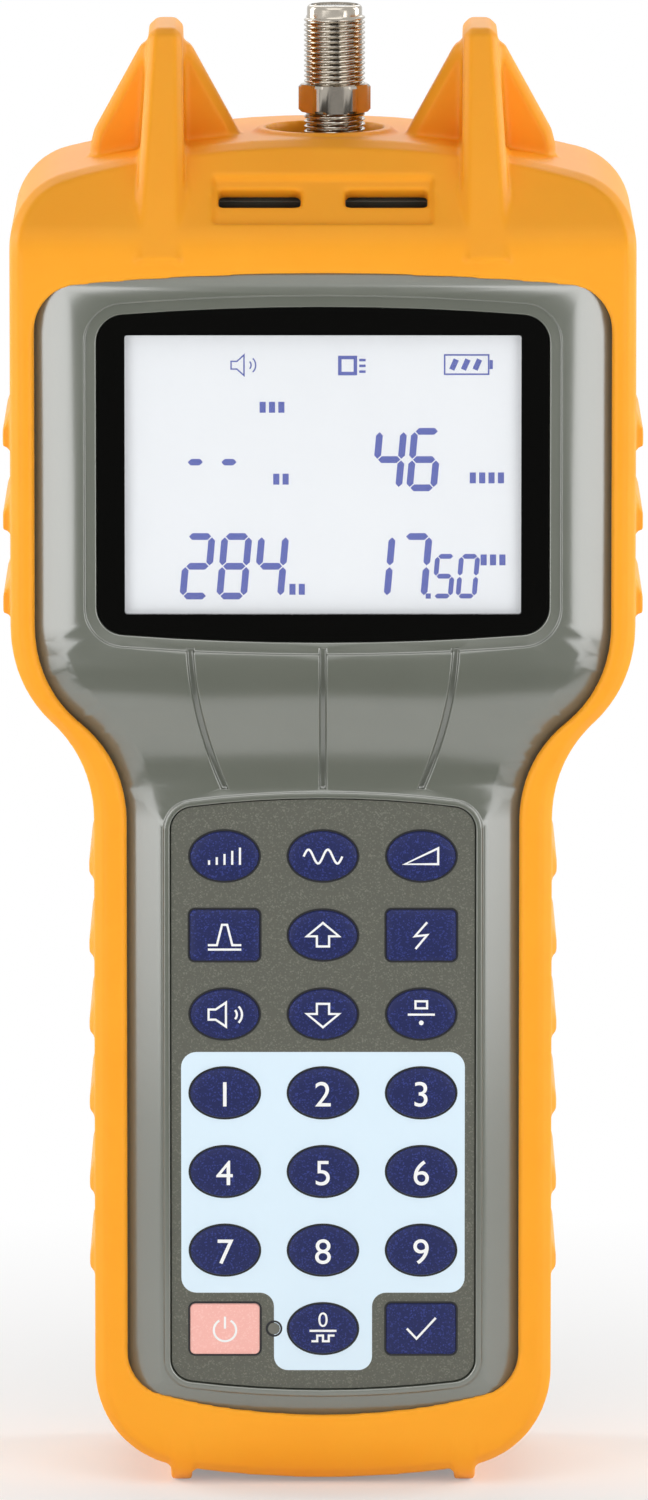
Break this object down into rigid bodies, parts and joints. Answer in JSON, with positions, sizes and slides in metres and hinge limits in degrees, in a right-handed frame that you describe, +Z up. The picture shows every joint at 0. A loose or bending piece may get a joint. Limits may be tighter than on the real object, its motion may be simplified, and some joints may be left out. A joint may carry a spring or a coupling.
{
  "type": "signal level meter",
  "caption": "Hand-held signal level meter in a moulded rubber boot with horns, a wide display head, a narrow keypad grip and a threaded coaxial port on top.",
  "frame": {"origin": "Centre of the bounding box at its base, where the two foot ribs stand", "axes": "Z up along the meter towards its port, X to the right as seen from the front, Y from the keys and display to the back"},
  "size_m": [0.0992, 0.0528, 0.2306],
  "materials": {
    "orange_rubber": "soft satin silicone",
    "grey_plastic": "satin moulded",
    "screw_steel": "zinc plated",
    "wrap_film": "shrink wrap",
    "black_lens": "polished",
    "display_glass": "polished",
    "white_plastic": "moulded",
    "zebra_rubber": "moulded",
    "grey_film": "fine sparkle",
    "black_plastic": "moulded",
    "board_laminate": "solder mask",
    "lamp_lens": "diffused",
    "tinned_steel": "tinned",
    "nickel_plate": "nickel plated",
    "contact_bronze": "plated",
    "navy_key": "printed film over keys",
    "pink_key": "printed film over keys"
  },
  "bodies": {
    "meter": {"rubber_boot": "orange_rubber", "front_case": "grey_plastic", "rear_case": "grey_plastic", "battery_door": "grey_plastic", "door_screw": "screw_steel", "case_screws": "screw_steel", "battery_pack": "wrap_film", "display_window": "black_lens", "lcd_panel": "display_glass", "lcd_backlight": "white_plastic", "contact_strips": "zebra_rubber", "keypad_panel": "grey_film", "tact_switches": "black_plastic", "main_board": "board_laminate", "power_lamp": "lamp_lens", "tuner_can": "tinned_steel", "speaker": "black_plastic", "port_barrel": "nickel_plate", "port_insulator": "white_plastic", "port_contact": "contact_bronze", "port_nut": "nickel_plate"},
    "key_level_body": {"key_level": "navy_key"},
    "key_mhz_body": {"key_mhz": "navy_key"},
    "key_tilt_body": {"key_tilt": "navy_key"},
    "key_ratio_body": {"key_ratio": "navy_key"},
    "key_up_body": {"key_up": "navy_key"},
    "key_volt_body": {"key_volt": "navy_key"},
    "key_sound_body": {"key_sound": "navy_key"},
    "key_down_body": {"key_down": "navy_key"},
    "key_dot_body": {"key_dot": "navy_key"},
    "key_1_body": {"key_1": "navy_key"},
    "key_2_body": {"key_2": "navy_key"},
    "key_3_body": {"key_3": "navy_key"},
    "key_4_body": {"key_4": "navy_key"},
    "key_5_body": {"key_5": "navy_key"},
    "key_6_body": {"key_6": "navy_key"},
    "key_7_body": {"key_7": "navy_key"},
    "key_8_body": {"key_8": "navy_key"},
    "key_9_body": {"key_9": "navy_key"},
    "key_power_body": {"key_power": "pink_key"},
    "key_0_body": {"key_0": "navy_key"},
    "key_ok_body": {"key_ok": "navy_key"}
  },
  "joints": [
    {"name": "key_level_press", "type": "slide", "parent": "meter", "child": "key_level_body", "axis": [0, 1, 0], "range_m": [0, 0.0005], "stiffness_N_per_m": 4000},
    {"name": "key_mhz_press", "type": "slide", "parent": "meter", "child": "key_mhz_body", "axis": [0, 1, 0], "range_m": [0, 0.0005], "stiffness_N_per_m": 4000},
    {"name": "key_tilt_press", "type": "slide", "parent": "meter", "child": "key_tilt_body", "axis": [0, 1, 0], "range_m": [0, 0.0005], "stiffness_N_per_m": 4000},
    {"name": "key_ratio_press", "type": "slide", "parent": "meter", "child": "key_ratio_body", "axis": [0, 1, 0], "range_m": [0, 0.0005], "stiffness_N_per_m": 4000},
    {"name": "key_up_press", "type": "slide", "parent": "meter", "child": "key_up_body", "axis": [0, 1, 0], "range_m": [0, 0.0005], "stiffness_N_per_m": 4000},
    {"name": "key_volt_press", "type": "slide", "parent": "meter", "child": "key_volt_body", "axis": [0, 1, 0], "range_m": [0, 0.0005], "stiffness_N_per_m": 4000},
    {"name": "key_sound_press", "type": "slide", "parent": "meter", "child": "key_sound_body", "axis": [0, 1, 0], "range_m": [0, 0.0005], "stiffness_N_per_m": 4000},
    {"name": "key_down_press", "type": "slide", "parent": "meter", "child": "key_down_body", "axis": [0, 1, 0], "range_m": [0, 0.0005], "stiffness_N_per_m": 4000},
    {"name": "key_dot_press", "type": "slide", "parent": "meter", "child": "key_dot_body", "axis": [0, 1, 0], "range_m": [0, 0.0005], "stiffness_N_per_m": 4000},
    {"name": "key_1_press", "type": "slide", "parent": "meter", "child": "key_1_body", "axis": [0, 1, 0], "range_m": [0, 0.0005], "stiffness_N_per_m": 4000},
    {"name": "key_2_press", "type": "slide", "parent": "meter", "child": "key_2_body", "axis": [0, 1, 0], "range_m": [0, 0.0005], "stiffness_N_per_m": 4000},
    {"name": "key_3_press", "type": "slide", "parent": "meter", "child": "key_3_body", "axis": [0, 1, 0], "range_m": [0, 0.0005], "stiffness_N_per_m": 4000},
    {"name": "key_4_press", "type": "slide", "parent": "meter", "child": "key_4_body", "axis": [0, 1, 0], "range_m": [0, 0.0005], "stiffness_N_per_m": 4000},
    {"name": "key_5_press", "type": "slide", "parent": "meter", "child": "key_5_body", "axis": [0, 1, 0], "range_m": [0, 0.0005], "stiffness_N_per_m": 4000},
    {"name": "key_6_press", "type": "slide", "parent": "meter", "child": "key_6_body", "axis": [0, 1, 0], "range_m": [0, 0.0005], "stiffness_N_per_m": 4000},
    {"name": "key_7_press", "type": "slide", "parent": "meter", "child": "key_7_body", "axis": [0, 1, 0], "range_m": [0, 0.0005], "stiffness_N_per_m": 4000},
    {"name": "key_8_press", "type": "slide", "parent": "meter", "child": "key_8_body", "axis": [0, 1, 0], "range_m": [0, 0.0005], "stiffness_N_per_m": 4000},
    {"name": "key_9_press", "type": "slide", "parent": "meter", "child": "key_9_body", "axis": [0, 1, 0], "range_m": [0, 0.0005], "stiffness_N_per_m": 4000},
    {"name": "key_power_press", "type": "slide", "parent": "meter", "child": "key_power_body", "axis": [0, 1, 0], "range_m": [0, 0.0005], "stiffness_N_per_m": 4000},
    {"name": "key_0_press", "type": "slide", "parent": "meter", "child": "key_0_body", "axis": [0, 1, 0], "range_m": [0, 0.0005], "stiffness_N_per_m": 4000},
    {"name": "key_ok_press", "type": "slide", "parent": "meter", "child": "key_ok_body", "axis": [0, 1, 0], "range_m": [0, 0.0005], "stiffness_N_per_m": 4000}
  ]
}
